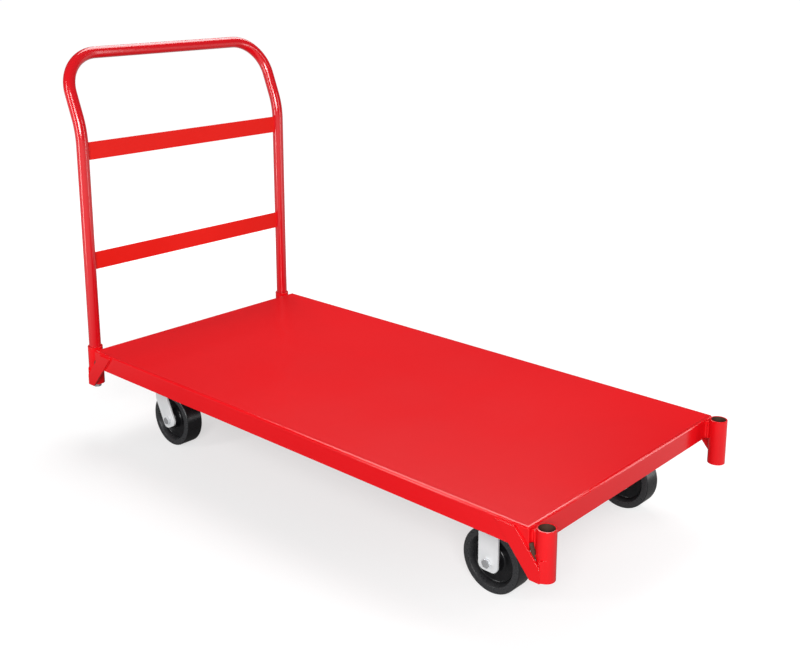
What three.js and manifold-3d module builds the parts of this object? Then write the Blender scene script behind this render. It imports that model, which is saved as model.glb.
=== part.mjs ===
// Steel platform truck: a folded sheet deck on two rigid and two swivel casters, with a bent tube
// push handle that plugs into two corner sockets. Millimetres, +X towards the free end, +Y left, +Z up.
import * as THREE from 'three';
import { mergeVertices } from 'three/addons/utils/BufferGeometryUtils.js';
import Module from 'manifold-3d';

// Gap kept between pieces that touch or are welded to each other
const seatGap = 0.3;

// Room round an axle, a bearing or a kingpin, and round a bolt in its hole
const runningClearance = 0.4;
const boltClearance = 0.8;

// How far a cutter reaches beyond the face it comes out of
const cutPast = 1;

// Deck tray, folded from 12 gauge sheet
const deckLength = 1524;
const deckWidth = 762;
const deckSheet = 2.66;
const deckApron = 50.8;
const deckBendRadius = 6;

// Members under the deck
const channelDepth = 50;
const channelWidth = 76.2;
const channelWall = 4.8;
const stringerDepth = 44.5;
const stringerFlange = 25.4;
const stringerWall = 3.2;
const stringerSpacing = 300;
const padLength = 146;
const padWidth = 120;
const padThickness = 6.35;

// Casters
const casterTrack = 528;
const frontAxleInset = 164;
const kingpinInset = 186;
const swivelTrail = 38;
const plateLength = 114.3;
const plateWidth = 101.6;
const plateThickness = 6.35;
const plateCorner = 9;
const boltSpanLength = 92.1;
const boltSpanWidth = 66.7;
const plateHole = 10.4;

// Wheels and what they turn on
const wheelDiameter = 152.4;
const wheelWidth = 50.8;
const treadShoulder = 4;
const rimFace = 12;
const dishDepth = 15.5;
const dishSlope = 7;
const axleDiameter = 12.7;
const axleNutHeight = 11;
const axleTail = 3;
const sleeveWall = 3.15;
const bearingWall = 5.6;
const bearingRecess = 2;
const hubWall = 10.9;
const hubProud = 1.6;
const sleeveDiameter = axleDiameter + 2 * sleeveWall;
const bearingDiameter = sleeveDiameter + 2 * bearingWall;
const hubDiameter = bearingDiameter + 2 * hubWall;
const hubLength = wheelWidth + 2 * hubProud;
const bearingLength = hubLength - 2 * bearingRecess;

// Forks
const legThickness = 6.35;
const legClearance = 1.5;
const wheelHeadroom = 6.5;
const legFootDrop = 21;
const legFootCorner = 16;
const rigidLegTopWidth = 84;
const rigidLegWidth = 53;
const rigidLegShoulder = 34;
const swivelLegWidth = 50;
const swivelLegRake = THREE.MathUtils.degToRad(27);
const swivelLegKnee = 48;
const swivelLegHeel = 5;
const crownDiameter = 88;
const crownThickness = 6.35;
const ballRingDiameter = 76;
const ballRingHeight = 12;
const kingpinDiameter = 16;
const kingpinHeadDiameter = 28;
const kingpinHeadHeight = 6;
const kingpinFlare = 4;

// Hex hardware, half inch size
const hexAcrossFlats = 1.5 * axleDiameter;
const hexHeadHeight = 8.3;

// Corner sockets, pipe one size above the handle's, and the straps that carry them
const tubeDiameter = 33.4;
const postClearance = 0.825;
const socketWall = 3.575;
const socketBore = tubeDiameter + 2 * postClearance;
const socketDiameter = socketBore + 2 * socketWall;
const socketLength = 112;
const socketAboveDeck = 3;
const socketBase = 4.8;
const spacerThickness = 6.35;
const spacerWidth = 20;
const gussetWidth = 38.1;
const gussetThickness = 4.76;
const gussetInset = 82;
const gussetBelowDeck = 7;
const gussetPastAxis = 4;

// Push handle, 1 inch pipe, and its fixing bolts
const tubeWall = 3.4;
const handleHeight = 1098;
const backBendHeight = 834;
const backBendRadius = 216;
const backBendAngle = THREE.MathUtils.degToRad(21.9);
const cornerRadius = 110;
const crossbarHeight = 50;
const crossbarThickness = 4.8;
const lowerCrossbarCentre = 503;
const upperCrossbarCentre = 818.5;
const plugLength = 22;
const plugInset = 2;
const washerDiameter = 27;
const washerThickness = 2.5;

// Facets of round surfaces
const wheelFacets = 28;
const pipeFacets = 24;
const handleFacets = 16;
const handleBoreFacets = 12;
const smallFacets = 16;
const holeFacets = 8;

// Heights and places that follow from the sizes above: a caster is as high as its stacked pieces
const swivelHead = kingpinHeadHeight + crownThickness + ballRingHeight + 3 * seatGap;
const casterHeight = wheelDiameter + wheelHeadroom + swivelHead + plateThickness;
const padBottom = casterHeight + seatGap;
const channelBottom = padBottom + padThickness + seatGap;
const deckUnderside = channelBottom + channelDepth + seatGap;
const deckTop = deckUnderside + deckSheet;
const plateBottom = casterHeight - plateThickness;
const axleHeight = wheelDiameter / 2;
const frontAxleX = deckLength / 2 - frontAxleInset;
const kingpinX = -deckLength / 2 + kingpinInset;
const legInside = hubLength / 2 + legClearance;
const legOutside = legInside + legThickness;
const socketTop = deckTop + socketAboveDeck;
const socketBottom = socketTop - socketLength;
const socketX = deckLength / 2 + seatGap + spacerThickness + seatGap + socketDiameter / 2;
const socketY = deckWidth / 2 - socketDiameter / 2;
const postBottom = socketBottom + socketBase + seatGap;
const ringTop = plateBottom - seatGap;
const crownTop = ringTop - ballRingHeight - seatGap;
const crownBottom = crownTop - crownThickness;

const wasm = await Module();
wasm.setup();

const red = { color: 0xe4252b, roughness: 0.32, metalness: 0.05 };
const zinc = { color: 0xcdd0d0, roughness: 0.38, metalness: 0.85 };
const steel = { color: 0x8b8d90, roughness: 0.35, metalness: 0.9 };
const wheelBlack = { color: 0x2b2b2d, roughness: 0.5, metalness: 0.0 };

// ---- Shapes -------------------------------------------------------------------------------------

// Corner radius of a polygon whose flats, not its corners, lie on the given circle
const aroundCircle = (radius, facets) => radius / Math.cos(Math.PI / facets);

function circle(radius, facets, x = 0, y = 0) {
  const points = [];
  for (let i = 0; i < facets; i++) {
    const turn = (i * 2 * Math.PI) / facets;
    points.push(new THREE.Vector2(x + radius * Math.cos(turn), y + radius * Math.sin(turn)));
  }
  return points;
}

function outline(points, holes = []) {
  const shape = new THREE.Shape(points.map(([x, y]) => new THREE.Vector2(x, y)));
  for (const hole of holes) shape.holes.push(new THREE.Path(hole));
  return shape;
}

function roundedRectangle(length, width, corner, holes = []) {
  const x = length / 2 - corner;
  const y = width / 2 - corner;
  const shape = new THREE.Shape();
  shape.absarc(x, y, corner, 0, Math.PI / 2);
  shape.absarc(-x, y, corner, Math.PI / 2, Math.PI);
  shape.absarc(-x, -y, corner, Math.PI, 1.5 * Math.PI);
  shape.absarc(x, -y, corner, 1.5 * Math.PI, 2 * Math.PI);
  for (const hole of holes) shape.holes.push(new THREE.Path(hole));
  return shape;
}

function extrude(shape, depth) {
  return new THREE.ExtrudeGeometry(shape, { depth, bevelEnabled: false, curveSegments: 4 });
}

// A flat outline seen from above, from height z up by its thickness
const slab = (shape, z, thickness) => extrude(shape, thickness).translate(0, 0, z);

// A side view outline, x across and z up, made thick along y from the given place
function sideSlab(shape, y, thickness) {
  return extrude(shape, thickness).rotateX(Math.PI / 2).translate(0, y + thickness, 0);
}

// An end view outline, y across and z up, made long along x from the given place
function endSlab(shape, x, length) {
  const turn = new THREE.Matrix4().makeBasis(
    new THREE.Vector3(0, 1, 0),
    new THREE.Vector3(0, 0, 1),
    new THREE.Vector3(1, 0, 0),
  );
  return extrude(shape, length).applyMatrix4(turn).translate(x, 0, 0);
}

// A profile of [radius, distance along the axis] turned about Y; a ring's profile closes on itself
function turned(profile, facets, phase = 0) {
  const points = profile.map(([radius, along]) => new THREE.Vector2(radius, along));
  if (points[0].x > 0) points.push(points[0].clone());
  if (THREE.ShapeUtils.area(points) < 0) points.reverse();
  return new THREE.LatheGeometry(points, facets, phase);
}

const turnedUpright = (profile, facets) => turned(profile, facets).rotateX(Math.PI / 2);

const tubeRing = (outer, inner, from, to) => [[inner, from], [outer, from], [outer, to], [inner, to]];

function hexPrism(from, to) {
  const height = to - from;
  const corner = hexAcrossFlats / Math.sqrt(3);
  return new THREE.CylinderGeometry(corner, corner, height, 6).translate(0, from + height / 2, 0);
}

// ---- Joining and cutting ------------------------------------------------------------------------

function solid(geometry) {
  const bare = geometry.clone();
  bare.deleteAttribute('normal');
  bare.deleteAttribute('uv');
  const merged = mergeVertices(bare);
  return new wasm.Manifold(new wasm.Mesh({
    numProp: 3,
    vertProperties: new Float32Array(merged.attributes.position.array),
    triVerts: new Uint32Array(merged.index.array),
  }));
}

function surface(body) {
  const mesh = body.getMesh();
  const geometry = new THREE.BufferGeometry();
  geometry.setAttribute('position', new THREE.BufferAttribute(new Float32Array(mesh.vertProperties), 3));
  geometry.setIndex(new THREE.BufferAttribute(new Uint32Array(mesh.triVerts), 1));
  geometry.computeVertexNormals();
  return geometry;
}

const join = (...parts) => surface(parts.map(solid).reduce((whole, part) => whole.add(part)));
const cut = (blank, tool) => surface(solid(blank).subtract(solid(tool)));
const common = (first, second) => surface(solid(first).intersect(solid(second)));

// ---- Scene graph --------------------------------------------------------------------------------

const cart = new THREE.Group();

function add(parent, name, geometry, finish, position = [0, 0, 0], turn = 0) {
  const mesh = new THREE.Mesh(geometry, new THREE.MeshStandardMaterial(finish));
  mesh.name = name;
  mesh.position.set(...position);
  mesh.rotation.z = turn;
  parent.add(mesh);
}

const corners = [];
for (const [end, along] of [['front', 1], ['rear', -1]]) {
  for (const [hand, across] of [['left', 1], ['right', -1]]) {
    corners.push({ name: `${end}_${hand}`, along, across });
  }
}

// ---- Deck weldment ------------------------------------------------------------------------------

// Outline of a downward tray: straight sides and a rounded bend at each top edge
function trayOutline(width, bottom, top, radius) {
  const half = width / 2;
  const shape = new THREE.Shape();
  shape.moveTo(-half, bottom);
  shape.lineTo(half, bottom);
  shape.absarc(half - radius, top - radius, radius, 0, Math.PI / 2);
  shape.absarc(-half + radius, top - radius, radius, Math.PI / 2, Math.PI);
  return shape;
}

function trayBlock(length, width, bottom, top, radius) {
  const across = endSlab(trayOutline(width, bottom, top, radius), -length / 2, length);
  const along = sideSlab(trayOutline(length, bottom, top, radius), -width / 2, width);
  return common(across, along);
}

function deckPlate() {
  const apronBottom = deckTop - deckApron;
  const innerLength = deckLength - 2 * deckSheet;
  const innerWidth = deckWidth - 2 * deckSheet;
  const innerRadius = Math.max(deckBendRadius - deckSheet, deckSheet / 4);
  const outside = trayBlock(deckLength, deckWidth, apronBottom, deckTop, deckBendRadius);
  const inside = trayBlock(innerLength, innerWidth, apronBottom - deckSheet, deckUnderside, innerRadius);
  return cut(outside, inside);
}

// Formed channel with its web down, running across the deck and ending short of its side bends
function crossChannel() {
  const length = deckWidth - 2 * Math.max(deckBendRadius, deckSheet) - 2 * seatGap;
  const outer = channelWidth / 2;
  const inner = outer - channelWall;
  const top = channelBottom + channelDepth;
  const web = channelBottom + channelWall;
  const section = outline([
    [-outer, channelBottom], [outer, channelBottom], [outer, top], [inner, top],
    [inner, web], [-inner, web], [-inner, top], [-outer, top],
  ]);
  return sideSlab(section, -length / 2, length);
}

// Formed channel on its side, running along the deck between the two cross channels
function stringer(across) {
  const from = kingpinX + channelWidth / 2 + seatGap;
  const to = frontAxleX - channelWidth / 2 - seatGap;
  const top = deckUnderside - seatGap;
  const bottom = top - stringerDepth;
  const web = across * stringerSpacing / 2;
  const lip = web + across * stringerFlange;
  const inside = web + across * stringerWall;
  const section = outline([
    [web, bottom], [lip, bottom], [lip, bottom + stringerWall], [inside, bottom + stringerWall],
    [inside, top - stringerWall], [lip, top - stringerWall], [lip, top], [web, top],
  ]);
  return endSlab(section, from, to - from);
}

function plateHoles() {
  const radius = aroundCircle(plateHole / 2, holeFacets);
  const x = boltSpanLength / 2;
  const y = boltSpanWidth / 2;
  return [[-x, -y], [-x, y], [x, -y], [x, y]].map((place) => circle(radius, holeFacets, ...place));
}

const casterPad = () => slab(
  roundedRectangle(padLength, padWidth, plateCorner, plateHoles()), padBottom, padThickness);

// Pipe socket with a pierced base welded into its lower end
function socket() {
  const outer = socketDiameter / 2;
  const bore = aroundCircle(socketBore / 2, pipeFacets);
  const boltHole = aroundCircle(axleDiameter / 2 + boltClearance, pipeFacets);
  const seat = socketBottom + socketBase;
  return turnedUpright([
    [boltHole, socketBottom], [outer, socketBottom], [outer, socketTop],
    [bore, socketTop], [bore, seat], [boltHole, seat],
  ], pipeFacets);
}

function spacer() {
  const height = deckApron - deckBendRadius - 2 * seatGap;
  const centre = deckTop - deckBendRadius - seatGap - height / 2;
  return new THREE.BoxGeometry(spacerThickness, spacerWidth, height).translate(0, 0, centre);
}

// Flat strap laid on the side apron, sloping down and out to the foot of the socket
function gusset(along) {
  const top = deckTop - gussetBelowDeck;
  const foot = socketBottom + seatGap;
  const footInset = deckLength / 2 - socketX + socketDiameter / 2;
  const slope = Math.atan2(top - foot, gussetInset - footInset);
  const endInset = deckLength / 2 - socketX - gussetPastAxis;
  const topInset = gussetInset - gussetWidth / Math.sin(slope);
  const endHeight = top - (topInset - endInset) * Math.tan(slope);
  const points = [
    [gussetInset, top], [footInset, foot], [endInset, foot], [endInset, endHeight], [topInset, top],
  ];
  const shape = outline(points.map(([inset, z]) => [along * (deckLength / 2 - inset), z]));
  return sideSlab(shape, -gussetThickness / 2, gussetThickness);
}

function buildDeck() {
  add(cart, 'deck_plate', deckPlate(), red);
  add(cart, 'front_cross_channel', crossChannel(), red, [frontAxleX, 0, 0]);
  add(cart, 'rear_cross_channel', crossChannel(), red, [kingpinX, 0, 0]);
  add(cart, 'left_stringer', stringer(1), red);
  add(cart, 'right_stringer', stringer(-1), red);
  for (const { name, along, across } of corners) {
    const casterX = along > 0 ? frontAxleX : kingpinX;
    const spacerX = deckLength / 2 + seatGap + spacerThickness / 2;
    const gussetY = deckWidth / 2 + seatGap + gussetThickness / 2;
    add(cart, `${name}_caster_pad`, casterPad(), red, [casterX, across * casterTrack / 2, 0]);
    add(cart, `${name}_socket`, socket(), red, [along * socketX, across * socketY, 0]);
    add(cart, `${name}_socket_spacer`, spacer(), red, [along * spacerX, across * socketY, 0]);
    add(cart, `${name}_gusset`, gusset(along), red, [0, across * gussetY, 0]);
  }
}

// ---- Wheels and axles ---------------------------------------------------------------------------

// Moulded wheel, turned about its axle: flat tread, rim ring, dished sides, plain hub
function wheel() {
  const radius = wheelDiameter / 2;
  const half = wheelWidth / 2;
  const rimInside = radius - treadShoulder - rimFace;
  const web = half - dishDepth;
  const hub = hubDiameter / 2;
  const bore = bearingDiameter / 2 + runningClearance;
  const side = [
    [bore, hubLength / 2], [hub, hubLength / 2], [hub, web], [rimInside - dishSlope, web],
    [rimInside, half], [radius - treadShoulder, half], [radius, half - treadShoulder],
  ];
  const otherSide = side.map(([r, along]) => [r, -along]).reverse();
  const profile = [...side, ...otherSide].map(([r, along]) => [aroundCircle(r, wheelFacets), along]);
  return turned(profile, wheelFacets, Math.PI / wheelFacets);
}

function rollerBearing() {
  const bore = aroundCircle(sleeveDiameter / 2 + runningClearance, smallFacets);
  return turned(tubeRing(bearingDiameter / 2, bore, -bearingLength / 2, bearingLength / 2), smallFacets);
}

function spannerSleeve() {
  const bore = aroundCircle(axleDiameter / 2 + runningClearance, smallFacets);
  const half = legInside - seatGap;
  return turned(tubeRing(sleeveDiameter / 2, bore, -half, half), smallFacets);
}

function axleBolt() {
  const headFrom = legOutside + seatGap;
  const tail = -(legOutside + seatGap + axleNutHeight + axleTail);
  const radius = axleDiameter / 2;
  const end = headFrom + hexHeadHeight / 2;
  const shank = turned([[0, tail], [radius, tail], [radius, end], [0, end]], smallFacets);
  return join(hexPrism(headFrom, headFrom + hexHeadHeight), shank);
}

function axleNut() {
  const inner = -(legOutside + seatGap);
  const outer = inner - axleNutHeight;
  const bore = aroundCircle(axleDiameter / 2 + runningClearance / 2, smallFacets);
  const drill = turned([
    [0, outer - cutPast], [bore, outer - cutPast], [bore, inner + cutPast], [0, inner + cutPast],
  ], smallFacets);
  return cut(hexPrism(outer, inner), drill);
}

// A wheel on its axle, with the bolt's head on the cart's outer side
function buildWheel(caster, name, x, across) {
  const place = [x, 0, axleHeight];
  const turn = across > 0 ? 0 : Math.PI;
  add(caster, `${name}_wheel`, wheel(), wheelBlack, place);
  add(caster, `${name}_roller_bearing`, rollerBearing(), steel, place);
  add(caster, `${name}_spanner_sleeve`, spannerSleeve(), steel, place);
  add(caster, `${name}_axle_bolt`, axleBolt(), zinc, place, turn);
  add(caster, `${name}_axle_nut`, axleNut(), zinc, place, turn);
}

// ---- Rigid casters ------------------------------------------------------------------------------

// Round-cornered foot of a leg, as [x, z] about the axle, leaning back by the rake
function legFoot(width, rake) {
  const steps = 4;
  const radius = Math.min(legFootCorner, width / 2);
  const points = [];
  for (const side of [-1, 1]) {
    for (let i = 0; i <= steps; i++) {
      const angle = Math.PI * (side < 0 ? 1 : 1.5) + (i * Math.PI) / 2 / steps;
      const x = side * (width / 2 - radius) + radius * Math.cos(angle);
      const z = radius - legFootDrop + radius * Math.sin(angle);
      points.push([x * Math.cos(rake) - z * Math.sin(rake), x * Math.sin(rake) + z * Math.cos(rake)]);
    }
  }
  return points;
}

// Leg outline: wide under the plate, parallel from the shoulder down to the foot
function rigidLeg(top) {
  const wide = rigidLegTopWidth / 2;
  const narrow = rigidLegWidth / 2;
  const shoulder = plateBottom - rigidLegShoulder;
  const foot = legFoot(rigidLegWidth, 0).map(([x, z]) => [x, axleHeight + z]);
  return outline([...foot, [narrow, shoulder], [wide, top], [-wide, top], [-narrow, shoulder]]);
}

function axleHole(x) {
  const radius = aroundCircle(axleDiameter / 2 + runningClearance, holeFacets);
  return new THREE.Path(circle(radius, holeFacets, x, axleHeight));
}

function legPair(shape) {
  return [-legOutside, legInside].map((y) => sideSlab(shape, y, legThickness));
}

function rigidFork() {
  const plate = slab(roundedRectangle(plateLength, plateWidth, plateCorner, plateHoles()),
    plateBottom, plateThickness);
  const leg = rigidLeg(plateBottom + plateThickness / 2);
  leg.holes.push(axleHole(0));
  return join(plate, ...legPair(leg));
}

function buildRigidCaster(across, name) {
  const caster = new THREE.Group();
  caster.position.set(frontAxleX, across * casterTrack / 2, 0);
  cart.add(caster);
  add(caster, `${name}_fork`, rigidFork(), zinc);
  buildWheel(caster, name, 0, across);
}

// ---- Swivel casters -----------------------------------------------------------------------------

// Top plate with a countersunk hole that holds the kingpin's flared end
function swivelPlate() {
  const plate = slab(roundedRectangle(plateLength, plateWidth, plateCorner, plateHoles()),
    plateBottom, plateThickness);
  const narrow = aroundCircle(kingpinDiameter / 2 + runningClearance, smallFacets);
  const wide = narrow + kingpinFlare + cutPast;
  const drill = turnedUpright([
    [0, plateBottom - cutPast], [narrow, plateBottom - cutPast],
    [narrow, casterHeight - kingpinFlare - seatGap],
    [wide, casterHeight + cutPast], [0, casterHeight + cutPast],
  ], smallFacets);
  return cut(plate, drill);
}

function kingpin() {
  const shank = kingpinDiameter / 2;
  const head = kingpinHeadDiameter / 2;
  const top = casterHeight - seatGap;
  const headTop = crownBottom - seatGap;
  return turnedUpright([
    [0, headTop - kingpinHeadHeight], [head, headTop - kingpinHeadHeight], [head, headTop],
    [shank, headTop], [shank, top - kingpinFlare], [shank + kingpinFlare - seatGap, top], [0, top],
  ], smallFacets);
}

function ballRing() {
  const bore = aroundCircle(kingpinDiameter / 2 + runningClearance, smallFacets);
  const ring = tubeRing(ballRingDiameter / 2, bore, ringTop - ballRingHeight, ringTop);
  return turnedUpright(ring, pipeFacets);
}

// Raked leg outline: it leans back from the axle and turns upright at a knee below the crown
function swivelLeg(top) {
  const half = swivelLegWidth / 2;
  const edge = half / Math.cos(swivelLegRake);
  const sideX = (side, z) => swivelTrail + side * edge - z * Math.tan(swivelLegRake);
  const foot = legFoot(swivelLegWidth, swivelLegRake).map(([x, z]) => [swivelTrail + x, axleHeight + z]);
  const kneeX = sideX(-1, swivelLegKnee);
  const frontX = sideX(1, top - axleHeight);
  return outline([
    ...foot, [frontX, top], [kneeX - swivelLegHeel, top], [kneeX, axleHeight + swivelLegKnee],
  ]);
}

function swivelFork() {
  const leg = swivelLeg(crownTop - seatGap);
  leg.holes.push(axleHole(swivelTrail));
  const crown = turnedUpright([
    [0, crownBottom], [crownDiameter / 2, crownBottom], [crownDiameter / 2, crownTop], [0, crownTop],
  ], pipeFacets);
  const bore = aroundCircle(kingpinDiameter / 2 + runningClearance, smallFacets);
  const drill = turnedUpright([
    [0, crownBottom - cutPast], [bore, crownBottom - cutPast],
    [bore, crownTop + cutPast], [0, crownTop + cutPast],
  ], smallFacets);
  return cut(join(crown, ...legPair(leg)), drill);
}

function buildSwivelCaster(across, name) {
  const caster = new THREE.Group();
  caster.position.set(kingpinX, across * casterTrack / 2, 0);
  cart.add(caster);
  add(caster, `${name}_swivel_plate`, swivelPlate(), zinc);
  add(caster, `${name}_ball_ring`, ballRing(), zinc);
  add(caster, `${name}_kingpin`, kingpin(), zinc);
  add(caster, `${name}_swivel_fork`, swivelFork(), zinc);
  buildWheel(caster, name, swivelTrail, across);
}

// ---- Push handle --------------------------------------------------------------------------------

// A centreline of straight runs and round bends, stepped only where it turns
class BentLine extends THREE.Curve {
  constructor(start, heading) {
    super();
    this.points = [start.clone()];
    this.headings = [heading.clone()];
  }

  run(length) {
    const heading = this.headings.at(-1);
    this.points.push(this.points.at(-1).clone().addScaledVector(heading, length));
    this.headings.push(heading.clone());
  }

  bend(radius, angle, axis, steps) {
    const from = this.points.at(-1);
    const heading = this.headings.at(-1);
    const centre = axis.clone().cross(heading).multiplyScalar(radius).add(from);
    for (let i = 1; i <= steps; i++) {
      const part = (angle * i) / steps;
      this.points.push(from.clone().sub(centre).applyAxisAngle(axis, part).add(centre));
      this.headings.push(heading.clone().applyAxisAngle(axis, part));
    }
  }

  get steps() {
    return this.points.length - 1;
  }

  getPointAt(share) {
    return this.points[Math.round(share * this.steps)].clone();
  }

  getTangentAt(share) {
    return this.headings[Math.round(share * this.steps)].clone();
  }
}

function handleLine() {
  const backSteps = 5;
  const cornerSteps = 8;
  const towardsBack = new THREE.Vector3(0, -1, 0);
  const fromBack = new THREE.Vector3(0, 1, 0);
  const corner = new THREE.Vector3(-Math.cos(backBendAngle), 0, -Math.sin(backBendAngle));
  const bendTop = backBendHeight + backBendRadius * Math.sin(backBendAngle);
  const slope = (handleHeight - tubeDiameter / 2 - bendTop) / Math.cos(backBendAngle) - cornerRadius;
  const start = new THREE.Vector3(-socketX, -socketY, postBottom);
  const line = new BentLine(start, new THREE.Vector3(0, 0, 1));
  line.run(backBendHeight - postBottom);
  line.bend(backBendRadius, backBendAngle, towardsBack, backSteps);
  line.run(slope);
  line.bend(cornerRadius, Math.PI / 2, corner, cornerSteps);
  line.run(2 * (socketY - cornerRadius));
  line.bend(cornerRadius, Math.PI / 2, corner, cornerSteps);
  line.run(slope);
  line.bend(backBendRadius, backBendAngle, fromBack, backSteps);
  line.run(backBendHeight - postBottom);
  return line;
}

function handleTube() {
  const line = handleLine();
  const bore = aroundCircle(tubeDiameter / 2 - tubeWall, handleBoreFacets);
  const section = new THREE.Shape(circle(tubeDiameter / 2, handleFacets));
  section.holes.push(new THREE.Path(circle(bore, handleBoreFacets)));
  return new THREE.ExtrudeGeometry(section, { steps: line.steps, extrudePath: line });
}

function crossbar() {
  const length = 2 * (socketY - tubeDiameter / 2 - seatGap);
  return new THREE.BoxGeometry(crossbarThickness, length, crossbarHeight);
}

function postPlug() {
  const outer = tubeDiameter / 2 - tubeWall - seatGap;
  const bore = aroundCircle(axleDiameter / 2 + runningClearance, smallFacets);
  const from = postBottom + plugInset;
  return turnedUpright(tubeRing(outer, bore, from, from + plugLength), smallFacets);
}

const washerTop = socketBottom - seatGap;
const boltHeadTop = washerTop - washerThickness - seatGap;

function handleBolt() {
  const radius = axleDiameter / 2;
  const head = hexPrism(boltHeadTop - hexHeadHeight, boltHeadTop).rotateX(Math.PI / 2);
  const end = postBottom + plugInset + plugLength;
  const start = boltHeadTop - hexHeadHeight / 2;
  return join(head, turnedUpright([[0, start], [radius, start], [radius, end], [0, end]], smallFacets));
}

function handleWasher() {
  const bore = aroundCircle(axleDiameter / 2 + runningClearance, smallFacets);
  const ring = tubeRing(washerDiameter / 2, bore, washerTop - washerThickness, washerTop);
  return turnedUpright(ring, smallFacets);
}

function buildHandle() {
  add(cart, 'handle_tube', handleTube(), red);
  add(cart, 'lower_crossbar', crossbar(), red, [-socketX, 0, lowerCrossbarCentre]);
  add(cart, 'upper_crossbar', crossbar(), red, [-socketX, 0, upperCrossbarCentre]);
  for (const [hand, across] of [['left', 1], ['right', -1]]) {
    const place = [-socketX, across * socketY, 0];
    add(cart, `${hand}_post_plug`, postPlug(), steel, place);
    add(cart, `${hand}_handle_bolt`, handleBolt(), zinc, place);
    add(cart, `${hand}_handle_washer`, handleWasher(), zinc, place);
  }
}

buildDeck();
for (const { name, along, across } of corners) {
  const buildCaster = along > 0 ? buildRigidCaster : buildSwivelCaster;
  buildCaster(across, name);
}
buildHandle();

// The origin is on the floor, under the middle of the whole cart's length and width
const whole = new THREE.Box3().setFromObject(cart);
cart.position.x = -(whole.min.x + whole.max.x) / 2;

export default cart;
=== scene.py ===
# Steel platform truck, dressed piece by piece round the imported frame. Shapes are drawn in
# millimetres in the frame's own axes, and made metres when each piece is finished.
import math

import bmesh
import bpy
from mathutils import Matrix, Vector


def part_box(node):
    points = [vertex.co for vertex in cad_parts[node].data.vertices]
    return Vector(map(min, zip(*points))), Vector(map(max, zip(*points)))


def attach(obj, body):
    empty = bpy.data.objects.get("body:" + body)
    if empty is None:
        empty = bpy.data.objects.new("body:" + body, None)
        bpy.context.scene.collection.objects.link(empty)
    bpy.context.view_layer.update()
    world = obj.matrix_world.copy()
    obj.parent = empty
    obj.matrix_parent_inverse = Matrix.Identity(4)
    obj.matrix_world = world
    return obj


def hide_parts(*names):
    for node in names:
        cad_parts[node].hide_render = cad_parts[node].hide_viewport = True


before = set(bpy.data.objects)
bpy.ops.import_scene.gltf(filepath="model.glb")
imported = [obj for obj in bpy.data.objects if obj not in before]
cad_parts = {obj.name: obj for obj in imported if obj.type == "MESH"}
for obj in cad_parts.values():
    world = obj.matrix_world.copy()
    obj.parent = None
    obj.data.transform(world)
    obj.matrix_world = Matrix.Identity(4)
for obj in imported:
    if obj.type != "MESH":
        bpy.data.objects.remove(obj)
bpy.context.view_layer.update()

# ---- Deck plate ---------------------------------------------------------------------------------
# One sheet of 12 gauge steel, folded down on all four sides. The corner seams are welded and ground
# smooth. The whole weldment is powder coated red, glossy on its sides and more satin on the top.
deck_sheet = 2.66
deck_bend = 6.0
deck_corner = 2.2
deck_lip = 0.4


def span(node):
    """Lowest and highest corner of a frame node, in millimetres"""
    low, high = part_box(node)
    return low * 1000, high * 1000


def finish(name, colours, patch, roughness, grain, relief, lighter_tone=None, **settings):
    """Two colours in soft patches, a range of roughness and a fine relief, by place on the piece.
    Where the piece's lighter_tone attribute is high, a lighter colour shows instead, in patches"""
    material = bpy.data.materials.new(name)
    material.use_nodes = True
    nodes, links = material.node_tree.nodes, material.node_tree.links
    shader = nodes["Principled BSDF"]
    place = nodes.new("ShaderNodeTexCoord").outputs["Object"]

    def noise(scale, detail):
        texture = nodes.new("ShaderNodeTexNoise")
        texture.inputs["Scale"].default_value = scale
        texture.inputs["Detail"].default_value = detail
        links.new(place, texture.inputs["Vector"])
        return texture.outputs["Fac"]

    ramp = nodes.new("ShaderNodeValToRGB")
    for stop, position, colour in zip(ramp.color_ramp.elements, (0.38, 0.62), colours):
        stop.position = position
        stop.color = (*colour, 1.0)
    links.new(noise(patch, 3.0), ramp.inputs["Fac"])
    colour = ramp.outputs["Color"]
    if lighter_tone:
        tone_mask = nodes.new("ShaderNodeAttribute")
        tone_mask.attribute_name = "lighter_tone"
        tone_patches = nodes.new("ShaderNodeMath")
        tone_patches.operation = "MULTIPLY"
        links.new(tone_mask.outputs["Fac"], tone_patches.inputs[0])
        links.new(noise(patch * 4, 5.0), tone_patches.inputs[1])
        mix = nodes.new("ShaderNodeMix")
        mix.data_type = "RGBA"
        mix.inputs[7].default_value = (*lighter_tone, 1.0)
        links.new(tone_patches.outputs["Value"], mix.inputs[0])
        links.new(colour, mix.inputs[6])
        colour = mix.outputs[2]
    links.new(colour, shader.inputs["Base Color"])

    spread = nodes.new("ShaderNodeMapRange")
    spread.inputs["From Min"].default_value = 0.3
    spread.inputs["From Max"].default_value = 0.7
    spread.inputs["To Min"].default_value = roughness[0]
    spread.inputs["To Max"].default_value = roughness[1]
    links.new(noise(patch * 2, 4.0), spread.inputs["Value"])
    links.new(spread.outputs["Result"], shader.inputs["Roughness"])

    bump = nodes.new("ShaderNodeBump")
    bump.inputs["Strength"].default_value = 0.6
    bump.inputs["Distance"].default_value = relief
    links.new(noise(grain, 2.0), bump.inputs["Height"])
    links.new(bump.outputs["Normal"], shader.inputs["Normal"])
    for socket, value in settings.items():
        shader.inputs[socket.replace("_", " ")].default_value = value
    return material


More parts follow.
